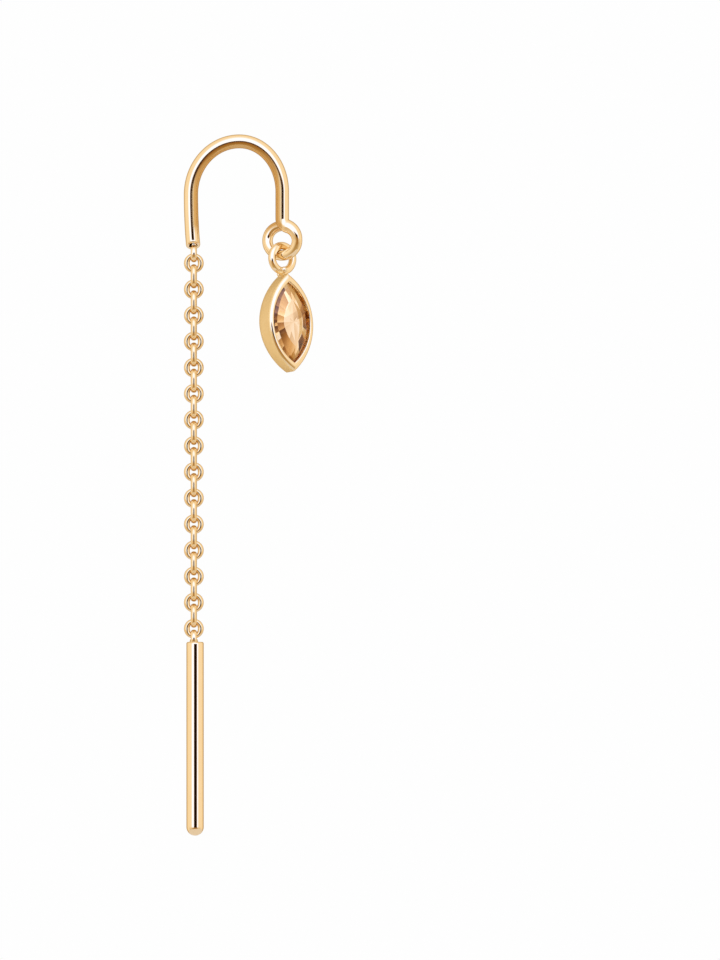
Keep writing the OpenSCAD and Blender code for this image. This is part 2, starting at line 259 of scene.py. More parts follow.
class DropSizes(bpy.types.PropertyGroup):
    ring_r: length("Ring radius", "Radius of the ring on its centre line", 0.73)
    ring_d: length("Ring wire", "Wire diameter of the ring", 0.44)
    ring_yaw: angle("Ring yaw", "Angle that the ring faces away from the front", 37.0)
    setting_l: length("Setting length", "Length of the setting", 5.64)
    setting_w: length("Setting width", "Width of the setting", 2.91)
    depth: length("Setting depth", "Depth of the setting from front to back", 1.32)
    rim_side: length("Rim beside the stone", "Width of the rim beside the window", 0.275)
    rim_tip: length("Rim at the points", "Width of the rim at the window's points", 0.485)
    rim_t: length("Rim thickness", "Thickness of the turned-over rim", 0.12)
    rim_round: length("Rim rounding", "Rounding of the rim's outer edge", 0.2)
    back_round: length("Back rounding", "Rounding of the setting's two back points", 0.3)
    lip_round: length("Lip rounding", "Rounding of the rim's inner edge", 0.05)
    seat_space: length("Seat space", "Depth of the seat behind the girdle", 0.2)
    ledge: length("Ledge", "How far the back's opening lies inside the stone's outline", 0.18)
    setting_yaw: angle("Setting yaw", "Angle that the setting faces away from the front", 30.0)
    lean: angle("Lean", "Sideways lean of the drop as it hangs", 4.1)


class StoneSizes(bpy.types.PropertyGroup):
    length: length("Stone length", "Length of the stone", 5.0)
    width: length("Stone width", "Width of the stone", 2.5)
    crown_h: length("Crown", "Height of the crown above the girdle", 0.42)
    girdle_t: length("Girdle", "Thickness of the girdle", 0.07)
    pavilion_h: length("Pavilion", "Depth of the pavilion below the girdle", 0.95)
    table: bpy.props.FloatProperty(
        name="Table", description="Share of the stone's width that its table takes",
        default=0.44, min=0.3, max=0.6, subtype="FACTOR",
    )
    clearance: length("Clearance", "Space between the stone and its setting", 0.02)


class Finishes(bpy.types.PropertyGroup):
    gold: colour("Gold", "Colour of the polished gold", 0.95, 0.77, 0.50)
    satin: colour("Satin gold", "Colour of the setting's wall", 0.95, 0.78, 0.47)
    # Painted light: a lighter gold on the walls round the stone, so that the stone's edge shows
    # more light
    seat: colour("Bright gold", "Colour of the setting's walls round the stone", 1.0, 0.90, 0.68)
    chain: colour("Chain gold", "Colour of the chain's links", 0.91, 0.70, 0.40)
    # Painted shade: the colour that darkens the arch's inner side, where shade falls
    painted_inner_shade: colour("Painted inner shade gold", "Colour of the arch's inner side, dulled by wear", 0.70, 0.44, 0.17)
    solder: colour("Solder", "Colour of the soldered joints", 0.94, 0.80, 0.57)
    stone: colour("Stone", "Colour of the champagne stone", 1.0, 0.94, 0.86)
    floor: colour("Floor", "Colour of the pale floor", 0.86, 0.86, 0.85)


class StageSizes(bpy.types.PropertyGroup):
    centre_x: length("View centre", "Middle of the view across", 6.925)
    centre_z: length("View height", "Middle of the view in height", -19.05)
    view_h: length("View size", "Height of the view at the earring", 55.17)
    distance: length("Camera distance", "Camera to the earring", 450.0)
    floor_z: length("Floor", "Height of the floor", -60.0)
    floor_r: length("Floor radius", "Radius of the floor", 45.0)
    floor_t: length("Floor thickness", "Thickness of the floor", 2.0)


def sizes(name):
    return getattr(bpy.context.scene, name)


def leave_edit_mode():
    if bpy.context.object and bpy.context.object.mode == "EDIT":
        bpy.ops.object.mode_set(mode="OBJECT")


def deselect_all():
    leave_edit_mode()
    bpy.ops.object.select_all(action="DESELECT")


def activate(piece):
    deselect_all()
    piece.select_set(True)
    bpy.context.view_layer.objects.active = piece


def edit(piece):
    activate(piece)
    bpy.ops.object.mode_set(mode="EDIT")


def select_whole():
    bpy.ops.mesh.select_all(action="SELECT")


def keep_in_mesh():
    """Moves the active piece's place and turn into its mesh."""
    bpy.ops.object.transform_apply(location=True, rotation=True, scale=True)


def add(operator, **settings):
    """Adds a primitive, with its place kept in its mesh."""
    deselect_all()
    operator(**settings)
    keep_in_mesh()
    return bpy.context.object


def pick(piece, test, kind="FACE"):
    """In edit mode, selects only the faces or vertices that pass a test."""
    bpy.ops.mesh.select_mode(type=kind)
    bpy.ops.mesh.select_all(action="DESELECT")
    mesh = bmesh.from_edit_mesh(piece.data)
    chosen = [part for part in {"FACE": mesh.faces, "VERT": mesh.verts}[kind] if test(part)]
    if not chosen:
        raise RuntimeError(f"nothing was picked on {piece.name}")
    for part in chosen:
        part.select_set(True)
    mesh.select_flush(True)
    bmesh.update_edit_mesh(piece.data)


def extrude(*by):
    """Extrudes the picked faces by a vector."""
    bpy.ops.mesh.extrude_region_move(TRANSFORM_OT_translate={"value": by})


def recalculate_normals(piece):
    edit(piece)
    select_whole()
    bpy.ops.mesh.remove_doubles(threshold=NEAR)
    bpy.ops.mesh.normals_make_consistent(inside=False)
    leave_edit_mode()


def place(piece, matrix):
    """Moves a piece, with its place kept in its mesh."""
    activate(piece)
    piece.matrix_world = matrix @ piece.matrix_world
    keep_in_mesh()


def join(name, pieces):
    deselect_all()
    for piece in pieces:
        piece.select_set(True)
    bpy.context.view_layer.objects.active = pieces[0]
    bpy.ops.object.join()
    joined = bpy.context.object
    joined.name = name
    return joined


def smooth(piece, limit=40):
    activate(piece)
    bpy.ops.object.shade_smooth_by_angle(angle=math.radians(limit), keep_sharp_edges=False)


def finish_piece(piece, name, material, body, node):
    """Names a finished piece, gives it its material, ties it to its body and hides the imported
    node that it replaces.
    """
    piece.name = name
    piece.data.name = name
    if material:
        piece.data.materials.clear()
        piece.data.materials.append(material)
    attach(piece, body)
    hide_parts(node)


def cut_with(piece, cutter):
    """Cuts a piece with a Boolean modifier and removes its cutter."""
    activate(piece)
    modifier = piece.modifiers.new("Cut", "BOOLEAN")
    modifier.operation = "DIFFERENCE"
    modifier.solver = "EXACT"
    modifier.object = cutter
    bpy.ops.object.modifier_apply(modifier=modifier.name)
    bpy.data.objects.remove(cutter)


def bend_wire(name, route):
    """Bends a round wire along a route of (point, radius) pairs, with closed ends."""
    deselect_all()
    bpy.ops.curve.primitive_nurbs_path_add()
    path = bpy.context.object
    shape = path.data
    shape.splines.clear()
    spline = shape.splines.new("POLY")
    spline.points.add(len(route) - 1)
    for point, (place_at, radius) in zip(spline.points, route):
        point.co = (*place_at, 1.0)
        point.radius = radius / MM
    shape.dimensions = "3D"
    shape.bevel_depth = MM
    shape.bevel_resolution = WIRE_SIDES // 2 - 2
    shape.use_fill_caps = True
    bpy.ops.object.convert(target="MESH")
    wire = bpy.context.object
    wire.name = name
    recalculate_normals(wire)
    return wire


def quarter_round(radius, steps, share=1.0):
    """Profile of a rounded edge as (inset, rise) pairs, from the wall up to the top."""
    turns = [share * math.pi / 2 * i / steps for i in range(steps + 1)]
    return [(radius * (1 - math.cos(turn)), radius * math.sin(turn)) for turn in turns]


def follow_profile(profile):
    """Insets the picked face step by step along a profile of (inset, rise) pairs."""
    for (inset, rise), (next_inset, next_rise) in zip(profile, profile[1:]):
        bpy.ops.mesh.inset(
            thickness=next_inset - inset, depth=next_rise - rise, use_even_offset=True,
        )


def follow_rim(profile, full_l, full_w, tip_share, facing=-1):
    """Extrudes the picked end of a marquise step by step along (inset, rise) pairs.

    A step goes further in at the two points than beside them, by the tip's share."""
    for (inset, rise), (next_inset, next_rise) in zip(profile, profile[1:]):
        extrude(0, facing * (next_rise - rise), 0)
        bpy.ops.transform.resize(
            value=(
                (full_w - 2 * next_inset) / (full_w - 2 * inset), 1,
                (full_l - 2 * next_inset * tip_share) / (full_l - 2 * inset * tip_share),
            ),
            center_override=(0, 0, 0),
        )


def marquise(name, full_l, full_w, front, back):
    """A pointed oval plate in the XZ plane: an arc and its mirror image, extruded along Y."""
    arc_r = (full_l ** 2 + full_w ** 2) / (4 * full_w)
    plate = add(
        bpy.ops.mesh.primitive_circle_add, vertices=ARC_SEGMENTS, radius=arc_r,
        fill_type="NOTHING", location=(full_w / 2 - arc_r, front, 0),
        rotation=(math.pi / 2, 0, 0),
    )
    edit(plate)
    select_whole()
    bpy.ops.mesh.bisect(
        plane_co=(0, 0, 0), plane_no=(1, 0, 0), clear_inner=True, threshold=NEAR,
    )
    select_whole()
    bpy.ops.mesh.duplicate()
    bpy.ops.transform.resize(value=(-1, 1, 1), center_override=(0, 0, 0))
    select_whole()
    bpy.ops.mesh.remove_doubles(threshold=NEAR)
    bpy.ops.mesh.edge_face_add()
    extrude(0, back - front, 0)
    recalculate_normals(plate)
    plate.name = name
    return plate


def foot_centre():
    hook = sizes("hook_sizes")
    arc_r = hook.chain_leg_l / hook.lean
    return Vector((
        -hook.chain_leg_x + arc_r * (1 - math.cos(hook.lean)), 0,
        hook.chain_leg_d / 2 - hook.chain_arch_h - arc_r * math.sin(hook.lean),
    ))


def chain_top():
    """Centre of the soldered eye that the chain hangs from."""
    chain = sizes("chain_sizes")
    foot = foot_centre()
    below = chain.eye_l / 2 - chain.eye_in_foot
    return Vector((foot.x + below * math.tan(sizes("hook_sizes").lean), 0, foot.z - below))


def eye_pitch():
    """From the centre of an eye to the centre of the link that it holds."""
    chain = sizes("chain_sizes")
    return (chain.eye_l + chain.round_l) / 2 - 2 * chain.end_t - chain.clearance


def link_centre(number):
    """Centre of a free link, counted from one at the top."""
    chain = sizes("chain_sizes")
    pitch = (chain.round_l + chain.oval_l) / 2 - 2 * chain.end_t - chain.clearance
    return chain_top() - Vector((0, 0, eye_pitch() + (number - 1) * pitch))


def low_eye():
    """Centre of the bar's soldered eye."""
    return link_centre(sizes("chain_sizes").links) - Vector((0, 0, eye_pitch()))


def bend_angle():
    hook = sizes("hook_sizes")
    return math.acos(hook.bend_r / (hook.loop_r + hook.bend_r))


def loop_centre_z():
    hook = sizes("hook_sizes")
    leg_end = hook.chain_leg_d / 2 - hook.drop_arch_h - hook.drop_leg_l
    return leg_end - (hook.loop_r + hook.bend_r) * math.sin(bend_angle())


def rise_share(turn):
    """Share of the loop's rise that is reached at a share of its turn."""
    return turn - RISE_SWAY * math.sin(2 * math.pi * turn) / (2 * math.pi)


def loop_depth(x, turn):
    hook = sizes("hook_sizes")
    return hook.loop_rise * rise_share(turn) - (x - hook.drop_leg_x) * math.tan(hook.loop_yaw)


def hang_matrix():
    """Place of the drop's own frame, whose origin is the middle of its ring."""
    hook = sizes("hook_sizes")
    drop = sizes("drop_sizes")
    share = (math.pi / 2 + bend_angle()) / hook.loop_turn
    rise_rate = 1 - RISE_SWAY * math.cos(2 * math.pi * share)
    slope = math.tan(hook.loop_yaw) + hook.loop_rise * rise_rate / (hook.loop_turn * hook.loop_r)
    pitch = math.atan(math.tan(drop.lean) * slope)
    ring_z = (
        loop_centre_z() - hook.loop_r + hook.loop_d / 2 + drop.ring_d / 2 + RING_GAP - drop.ring_r
    )
    return (
        Matrix.Translation((hook.drop_leg_x, hook.loop_rise * rise_share(share), ring_z))
        @ Matrix.Rotation(-drop.lean, 4, "Y")
        @ Matrix.Rotation(-pitch, 4, "X")
    )


def setting_matrix():
    """Place of the setting's own frame: the rim's front at y = 0, the middle of it at z = 0."""
    drop = sizes("drop_sizes")
    z = -drop.ring_r - drop.ring_d / 2 + SINK - drop.setting_l / 2
    return (
        hang_matrix()
        @ Matrix.Rotation(drop.setting_yaw, 4, "Z")
        @ Matrix.Translation((0, FORWARD - drop.depth / 2, z))
    )


def rim_space():
    """Space between the rim and the girdle."""
    drop = sizes("drop_sizes")
    stone = sizes("stone_sizes")
    slope = stone.crown_h / (stone.width / 2 * (1 - stone.table))
    return stone.clearance + (stone.length - drop.setting_l + 2 * drop.rim_tip) / 2 * slope


def stone_matrix():
    """Place of the stone's own frame, whose origin is the middle of its girdle's front."""
    return setting_matrix() @ Matrix.Translation((0, sizes("drop_sizes").rim_t + rim_space(), 0))


class Sketch:
    """Adds nodes to a tree and links them in one line each."""

    def __init__(self, tree):
        self.tree = tree
        self.tree.nodes.clear()

    def set_input(self, socket, value):
        if isinstance(value, bpy.types.NodeSocket):
            self.tree.links.new(value, socket)
        else:
            socket.default_value = value

    def node(self, kind, inputs=None, **settings):
        new = self.tree.nodes.new(kind)
        for key, value in settings.items():
            setattr(new, key, value)
        for key, value in (inputs or {}).items():
            self.set_input(new.inputs[key], value)
        return new

    def math(self, operation, *values, clamp=False):
        return self.node(
            "ShaderNodeMath", dict(enumerate(values)), operation=operation, use_clamp=clamp
        ).outputs[0]

    def plus(self, first, second):
        return self.math("ADD", first, second)

    def minus(self, first, second):
        return self.math("SUBTRACT", first, second)

    def times(self, first, second):
        return self.math("MULTIPLY", first, second)

    def over(self, first, second):
        return self.math("DIVIDE", first, second)

    def square(self, value):
        return self.math("POWER", value, 2.0)

    def more(self, first, second):
        return self.math("GREATER_THAN", first, second)

    def step(self, value, low, high):
        """Rises smoothly from 0 at low to 1 at high."""
        return self.node(
            "ShaderNodeMapRange", {"Value": value, "From Min": low, "From Max": high},
            interpolation_type="SMOOTHSTEP",
        ).outputs["Result"]

    def place_mm(self):
        """Place on the object in millimetres."""
        return self.node(
            "ShaderNodeVectorMath",
            {0: self.node("ShaderNodeTexCoord").outputs["Object"], "Scale": 1 / MM},
            operation="SCALE",
        ).outputs[0]

    def axes(self, vector):
        return self.node("ShaderNodeSeparateXYZ", {0: vector}).outputs

    def noise(self, vector, scale, detail, roughness=0.5):
        return self.node(
            "ShaderNodeTexNoise",
            {"Vector": vector, "Scale": scale, "Detail": detail, "Roughness": roughness},
        ).outputs[0]

    def ramp(self, value, stops):
        new = self.node("ShaderNodeValToRGB", {"Fac": value})
        elements = new.color_ramp.elements
        while len(elements) < len(stops):
            elements.new(0.5)
        for element, (position, tint) in zip(elements, stops):
            element.position = position
            element.color = (*tint, 1.0)
        return new.outputs["Color"]

    def blend(self, kind, factor, first, second):
        """Mixes two colours, given as sockets or as red, green and blue."""
        new = self.node("ShaderNodeMix", data_type="RGBA", blend_type=kind)
        self.set_input(new.inputs[0], factor)
        for index, value in ((6, first), (7, second)):
            if not isinstance(value, bpy.types.NodeSocket):
                value = (*value, 1.0)
            self.set_input(new.inputs[index], value)
        return new.outputs[2]

    def surface(self, inputs):
        """Ends a material's tree with its shader."""
        shader = self.node("ShaderNodeBsdfPrincipled", inputs)
        self.node("ShaderNodeOutputMaterial", {"Surface": shader.outputs[0]})


def wear_group():
    """Fine polishing lines, soft waves and slight tone changes of worked gold."""
    if "Worked gold" in bpy.data.node_groups:
        return bpy.data.node_groups["Worked gold"]
    group = bpy.data.node_groups.new("Worked gold", "ShaderNodeTree")
    for label, default in (
        ("Color", (0.97, 0.69, 0.37, 1)), ("Roughness", 0.1), ("Tone", 0.1), ("Waves", 0.2),
        ("Lines", 0.1),
    ):
        kind = "NodeSocketColor" if label == "Color" else "NodeSocketFloat"
        group.interface.new_socket(
            name=label, in_out="INPUT", socket_type=kind
        ).default_value = default
    for label in ("Color", "Roughness", "Height"):
        kind = "NodeSocketColor" if label == "Color" else "NodeSocketFloat"
        group.interface.new_socket(name=label, in_out="OUTPUT", socket_type=kind)
    sketch = Sketch(group)
    given = sketch.node("NodeGroupInput").outputs
    place_mm = sketch.place_mm()
    cloud = sketch.noise(place_mm, 0.9, 3.0)
    grain = sketch.noise(place_mm, 14.0, 4.0, 0.6)
    stretched = sketch.node(
        "ShaderNodeMapping", {"Vector": place_mm, "Scale": (9.0, 9.0, 0.7)}
    ).outputs[0]
    lines = sketch.noise(stretched, 4.0, 2.0, 0.7)
    tone = sketch.times(sketch.minus(cloud, 0.5), given["Tone"])
    warm = sketch.node(
        "ShaderNodeHueSaturation",
        {
            "Hue": 0.5,
            "Saturation": sketch.minus(1.0, tone),
            "Value": sketch.plus(1.0, sketch.times(tone, 0.6)),
            "Fac": 1.0,
            "Color": given["Color"],
        },
    ).outputs[0]
    uneven = sketch.times(sketch.minus(grain, 0.45), sketch.times(given["Roughness"], 0.9))
    rough = sketch.math("ADD", given["Roughness"], uneven, clamp=True)
    height = sketch.plus(
        sketch.times(cloud, given["Waves"]), sketch.times(lines, given["Lines"])
    )
    sketch.node("NodeGroupOutput", {"Color": warm, "Roughness": rough, "Height": height})
    return group


def new_material(name):
    """A material with its sketch, or without one if the material exists already."""
    if name in bpy.data.materials:
        return bpy.data.materials[name], None
    material = bpy.data.materials.new(name)
    material.use_nodes = True
    return material, Sketch(material.node_tree)


def inner_side(sketch):
    """A mask of the arch's inner side, where shade is painted into the gold's colour."""
    hook = sizes("hook_sizes")
    axes = sketch.axes(sketch.place_mm())
    chain_end, drop_end = (
        (hook.chain_leg_d / 2 - height) / MM for height in (hook.chain_arch_h, hook.drop_arch_h)
    )
    # The chain's leg leans in below the arch
    below = sketch.math("MAXIMUM", sketch.minus(chain_end, axes["Z"]), 0.0)
    lean_in = sketch.times(sketch.square(below), MM * hook.lean / hook.chain_leg_l / 2)
    halves = []
    for direction, reach, end_z, height, lean in (
        (-1.0, hook.chain_leg_x / MM, chain_end, hook.chain_arch_h / MM, lean_in),
        (1.0, hook.drop_leg_x / MM, drop_end, hook.drop_arch_h / MM, 0.0),
    ):
        sideways = sketch.times(axes["X"], direction)
        out = sketch.plus(sketch.math("MAXIMUM", sideways, 0.0), lean)
        up = sketch.math("MAXIMUM", sketch.minus(axes["Z"], end_z), 0.0)
        around = sketch.math(
            "SQRT",
            sketch.plus(
                sketch.square(sketch.over(out, reach)), sketch.square(sketch.over(up, height))
            ),
        )
        halves.append(
            sketch.times(around, sketch.step(sideways, -HALVES_BLEND, HALVES_BLEND))
        )
    inside = sketch.step(sketch.plus(*halves), *INNER_SHADE_EDGE)
    return sketch.times(inside, sketch.step(axes["Z"], *INNER_SHADE_END))


def gold_material(name, painted_inner_shade=False):
    """Gold whose colour, roughness and relief come from the worked gold effect."""
    material, sketch = new_material(name)
    if sketch is None:
        return material
    finishes = sizes("finishes")
    finish, roughness, tone, waves, lines, relief = GOLDS[name]
    tint = tuple(getattr(finishes, finish))
    given = {
        "Color": (*tint, 1.0), "Roughness": roughness, "Tone": tone, "Waves": waves,
        "Lines": lines,
    }
    # Painted shade: the arch's inner side is darkened, and made a little rougher
    if painted_inner_shade:
        mask = inner_side(sketch)
        given["Color"] = sketch.blend("MIX", mask, tint, tuple(finishes.painted_inner_shade))
        given["Roughness"] = sketch.plus(sketch.times(mask, INNER_SHADE_ROUGHNESS), roughness)
    effect = sketch.node("ShaderNodeGroup", given, node_tree=wear_group()).outputs
    bump = sketch.node(
        "ShaderNodeBump", {"Height": effect["Height"], "Strength": 1.0, "Distance": relief}
    )
    sketch.surface({
        "Base Color": effect["Color"], "Roughness": effect["Roughness"], "Metallic": 1.0,
        "Normal": bump.outputs["Normal"],
    })
    material.diffuse_color = (*tint, 1.0)
    return material


def cut_pattern(sketch):
    """Painted reflections of the cut: sectors round the keel in rings, each of its own tone."""
    stone = sizes("stone_sizes")
    place_at = stone_matrix()
    own = sketch.node(
        "ShaderNodeMapping",
        {
            "Vector": sketch.node("ShaderNodeTexCoord").outputs["Object"],
            "Location": place_at.to_translation(), "Rotation": place_at.to_euler(),
        },
        vector_type="TEXTURE",
    ).outputs[0]
    axes = sketch.axes(own)
    across = sketch.over(axes["X"], stone.width / 2)
    along = sketch.over(axes["Z"], stone.length / 2)
    lengthwise = sketch.square(along)
    # From 0 at the keel to 1 all along the girdle
    out = sketch.plus(sketch.math("ABSOLUTE", across), lengthwise)
    off_table = sketch.more(
        sketch.plus(out, sketch.times(lengthwise, TABLE_TAPER)), TABLE_EDGE
    )
    turn = sketch.over(
        sketch.math("ARCTAN2", sketch.times(along, SECTOR_STRETCH), across), math.tau
    )
    beside = sketch.plus(off_table, sketch.more(out, GIRDLE_EDGE))
    ring = sketch.plus(beside, sketch.more(out, STAR_EDGE))
    count = sketch.plus(sketch.times(beside, MORE_SECTORS), STAR_SECTORS)
    # Each ring is turned by half a sector against the one inside it
    place_in_ring = sketch.plus(sketch.times(turn, count), sketch.times(ring, 0.5))
    sector = sketch.math("FLOOR", place_in_ring)
    cell = sketch.node("ShaderNodeCombineXYZ", {0: sector, 1: ring, 2: PATTERN_SEED}).outputs[0]
    tone = sketch.node("ShaderNodeTexWhiteNoise", {"Vector": cell}).outputs["Value"]
    slope = sketch.minus(sketch.minus(place_in_ring, sector), 0.5)
    # Painted light: each sector lightens along its turn, and the right side is painted lighter
    # than the left
    painted_light = sketch.plus(
        sketch.times(slope, SECTOR_SLOPE), sketch.times(across, SIDE_LIGHT)
    )
    shade = sketch.math("ADD", tone, painted_light, clamp=True)
    pattern = sketch.blend(
        "MIX", off_table, sketch.ramp(shade, UNDER_TABLE), sketch.ramp(shade, BESIDE_TABLE)
    )
    # Refraction takes the colour's root at each surface, so the front alone has it, squared
    on_front = sketch.math("LESS_THAN", axes["Y"], stone.girdle_t / 2)
    squared = sketch.blend("MULTIPLY", 1.0, pattern, pattern)
    return sketch.blend("MIX", on_front, (1.0, 1.0, 1.0), squared)


def champagne_stone():
    """Clear champagne stone whose colour carries painted inner reflections of its cut, polished on
    the outside.
    """
    material, sketch = new_material("Champagne stone")
    if sketch is None:
        return material
    tint = tuple(sizes("finishes").stone)
    polish = sketch.noise(sketch.place_mm(), 9.0, 3.0)
    sketch.surface({
        "Base Color": sketch.blend("MULTIPLY", 1.0, cut_pattern(sketch), tint),
        "Roughness": sketch.times(polish, 0.03), "IOR": 1.15, "Transmission Weight": 1.0,
        "Metallic": 0.0, "Coat Weight": 0.6, "Coat IOR": 1.76, "Coat Roughness": 0.01,
        "Coat Tint": (1.0, 0.96, 0.90, 1.0),
    })
    material.diffuse_color = (*tint, 0.6)
    return material


def floor_material():
    """Pale matt floor with a faint unevenness."""
    material, sketch = new_material("Pale floor")
    if sketch is None:
        return material
    tint = tuple(sizes("finishes").floor)
    noise = sketch.noise(sketch.node("ShaderNodeTexCoord").outputs["Object"], 30.0, 4.0)
    tone = sketch.ramp(noise, [(0.3, tuple(c * 0.99 for c in tint)), (0.7, tint)])
    sketch.surface({"Base Color": tone, "Roughness": 0.8})
    return material


def link_torus(major_radius, minor_radius):
    """A torus in the XZ plane round the origin, in edit mode."""
    link = add(
        bpy.ops.mesh.primitive_torus_add, align="WORLD", rotation=(math.pi / 2, 0, 0),
        major_segments=LINK_SEGMENTS, minor_segments=LINK_SIDES, major_radius=major_radius,
        minor_radius=minor_radius,
    )
    edit(link)
    return link


def link_mesh(outer_l, outer_w, side_t):
    """One link in the XZ plane round the origin.

    It is a thin torus, widened until its side wires are side_t thick and drawn out lengthwise."""
    chain = sizes("chain_sizes")
    stretch = side_t / chain.end_t
    bend_r = (outer_w - side_t) / 2 / stretch
    straight = outer_l - chain.end_t - 2 * bend_r
    link = link_torus(bend_r, chain.end_t / 2)
    select_whole()
    bpy.ops.transform.resize(
        value=(stretch, chain.wire_d / chain.end_t, 1), center_override=(0, 0, 0)
    )
    for side in (-1, 1):
        pick(link, lambda vert: vert.co.z * side > 1e-6, kind="VERT")
        bpy.ops.transform.translate(value=(0, 0, side * straight / 2))
    smooth(link, 60)
    return link


def ring_mesh(outer_l, outer_w, side_t):
    """One round link in the XZ plane: a torus whose loops are drawn into ovals one by one.

    The wire is side_t thick at the sides and as thin as the chain's ends at the ends."""
    chain = sizes("chain_sizes")
    middle_w = (outer_w - side_t) / 2
    middle_l = (outer_l - chain.end_t) / 2
    link = link_torus(middle_w, side_t / 2)
    for ring in range(LINK_SIDES):
        reach = math.cos(math.tau * ring / LINK_SIDES) / 2
        pick(link, lambda vert: vert.index % LINK_SIDES == ring, kind="VERT")
        bpy.ops.transform.resize(
            value=(1, 1, (middle_l + reach * chain.end_t) / (middle_w + reach * side_t)),
            center_override=(0, 0, 0),
        )
    smooth(link, 60)
    return link


def soldered_eye(centre):
    """A link of the chain's wire that stands edge on."""
    chain = sizes("chain_sizes")
    eye = link_mesh(chain.eye_l, chain.eye_w, chain.end_t)
    place(eye, Matrix.Translation(centre) @ Matrix.Rotation(math.pi / 2, 4, "Z"))
    return eye


def upright_cone(name, low_r, high_r, low, high, at):
    """A cone or cylinder between two heights on the upright axis through a point."""
    cone = add(
        bpy.ops.mesh.primitive_cone_add, vertices=48, radius1=low_r, radius2=high_r,
        depth=high - low, location=(at.x, at.y, (low + high) / 2),
    )
    cone.name = name
    return cone


def hook_route():
    """The hook's wire from below its foot, over the arch and round the loop."""
    hook = sizes("hook_sizes")
    arc_r = hook.chain_leg_l / hook.lean
    chain_end_z = hook.chain_leg_d / 2 - hook.chain_arch_h
    drop_end_z = hook.chain_leg_d / 2 - hook.drop_arch_h
    leg_r, drop_r, loop_wire_r = hook.chain_leg_d / 2, hook.drop_leg_d / 2, hook.loop_d / 2
    below = foot_centre() - 0.5 * MM * Vector((-math.sin(hook.lean), 0, math.cos(hook.lean)))
    route = [(below, leg_r)]

    def lead_to(x, y, z, radius):
        route.append((Vector((x, y, z)), radius))

    # The steps next to the foot are left out, since it is cut there
    for i in range(LEG_STEPS - 4, 0, -1):
        q = hook.lean * i / LEG_STEPS
        x = -hook.chain_leg_x + arc_r * (1 - math.cos(q))
        lead_to(x, 0, chain_end_z - arc_r * math.sin(q), leg_r)
    for i in range(ARCH_STEPS + 1):
        q = math.pi * i / ARCH_STEPS
        reach, end_z, height = (
            (hook.chain_leg_x, chain_end_z, hook.chain_arch_h) if i < ARCH_STEPS / 2
            else (hook.drop_leg_x, drop_end_z, hook.drop_arch_h)
        )
        radius = leg_r + (drop_r - leg_r) * i / ARCH_STEPS
        lead_to(-reach * math.cos(q), 0, end_z + height * math.sin(q), radius)
    for i in range(1, STRAIGHT_STEPS + 1):
        lead_to(hook.drop_leg_x, 0, drop_end_z - hook.drop_leg_l * i / STRAIGHT_STEPS, drop_r)
    bend = bend_angle()
    bend_z = drop_end_z - hook.drop_leg_l
    for i in range(1, BEND_STEPS):
        q = bend * i / BEND_STEPS
        x = hook.drop_leg_x + hook.bend_r * (1 - math.cos(q))
        lead_to(x, loop_depth(x, 0), bend_z - hook.bend_r * math.sin(q), drop_r)
    for i in range(LOOP_STEPS + 1):
        turn = i / LOOP_STEPS
        q = bend - hook.loop_turn * turn
        x = hook.drop_leg_x + hook.loop_r * math.cos(q)
        z = loop_centre_z() + hook.loop_r * math.sin(q)
        radius = loop_wire_r + (drop_r - loop_wire_r) * max(0, 1 - turn / THINNING)
        lead_to(x, loop_depth(x, turn), z, radius)
    end = route[-1][0]
    ahead = (end - route[-2][0]).normalized()
    # The free end is rounded
    for degrees in (15, 30, 45, 60, 75):
        q = math.radians(degrees)
        route.append((
            end + ahead * loop_wire_r * 0.5 * math.sin(q),
            loop_wire_r * (0.5 + 0.5 * math.cos(q)),
        ))
    return route


def build_hook():
    hook = sizes("hook_sizes")
    wire = bend_wire("ear_hook", hook_route())
    foot = foot_centre()
    up = Vector((-math.sin(hook.lean), 0, math.cos(hook.lean)))
    outward = -math.cos(hook.slant) * up - math.sin(hook.slant) * Vector((0, 1, 0))
    edit(wire)
    # A loop just above the lip keeps the leg's shading straight, then the foot is cut off.
    # Either plane would also meet the end loop, so only the chain's leg is picked
    for above_lip, cut_off in ((SUPPORT, False), (0, True)):
        pick(wire, lambda face: face.calc_center_median().x < foot.x / 2)
        bpy.ops.mesh.bisect(
            plane_co=foot - outward * (hook.lip + above_lip), plane_no=outward,
            use_fill=cut_off, clear_outer=cut_off, threshold=NEAR,
        )
    pick(
        wire,
        lambda face: len(face.verts) >= WIRE_SIDES and face.calc_center_median().x < foot.x / 2,
    )
    follow_profile(quarter_round(hook.lip, 6))
    bpy.ops.mesh.inset(thickness=hook.chain_leg_d / 2 - hook.lip - hook.bore_d / 2)
    extrude(*(up * hook.bore_depth))
    chain = sizes("chain_sizes")
    eye_at = chain_top()
    shank = upright_cone(
        "shank", chain.wire_d / 2, chain.wire_d / 2, eye_at.z + (chain.eye_l - chain.end_t) / 2,
        foot.z + hook.bore_depth, eye_at,
    )
    wire = join("ear_hook", [wire, soldered_eye(eye_at), shank])
    smooth(wire)
    # The hook's gold has painted shade on the arch's inner side
    material = gold_material("Hook gold", painted_inner_shade=True)
    finish_piece(wire, "dressed_ear_hook", material, HANGING, "ear_hook")


def build_chain():
    chain = sizes("chain_sizes")
    patterns = {
        True: ring_mesh(chain.round_l, chain.width, chain.wire_d),
        False: link_mesh(chain.oval_l, chain.width, chain.wire_d),
    }
    place(patterns[False], Matrix.Rotation(math.pi / 2, 4, "Z"))
    for number in range(1, chain.links + 1):
        activate(patterns[number % 2 == 1])
        bpy.ops.object.duplicate(linked=False)
        link = bpy.context.object
        place(link, Matrix.Translation(link_centre(number)))
        finish_piece(
            link, f"dressed_link_{number:02d}", gold_material("Chain gold"), HANGING,
            f"chain_link_{number:02d}",
        )
    for pattern in patterns.values():
        bpy.data.objects.remove(pattern)


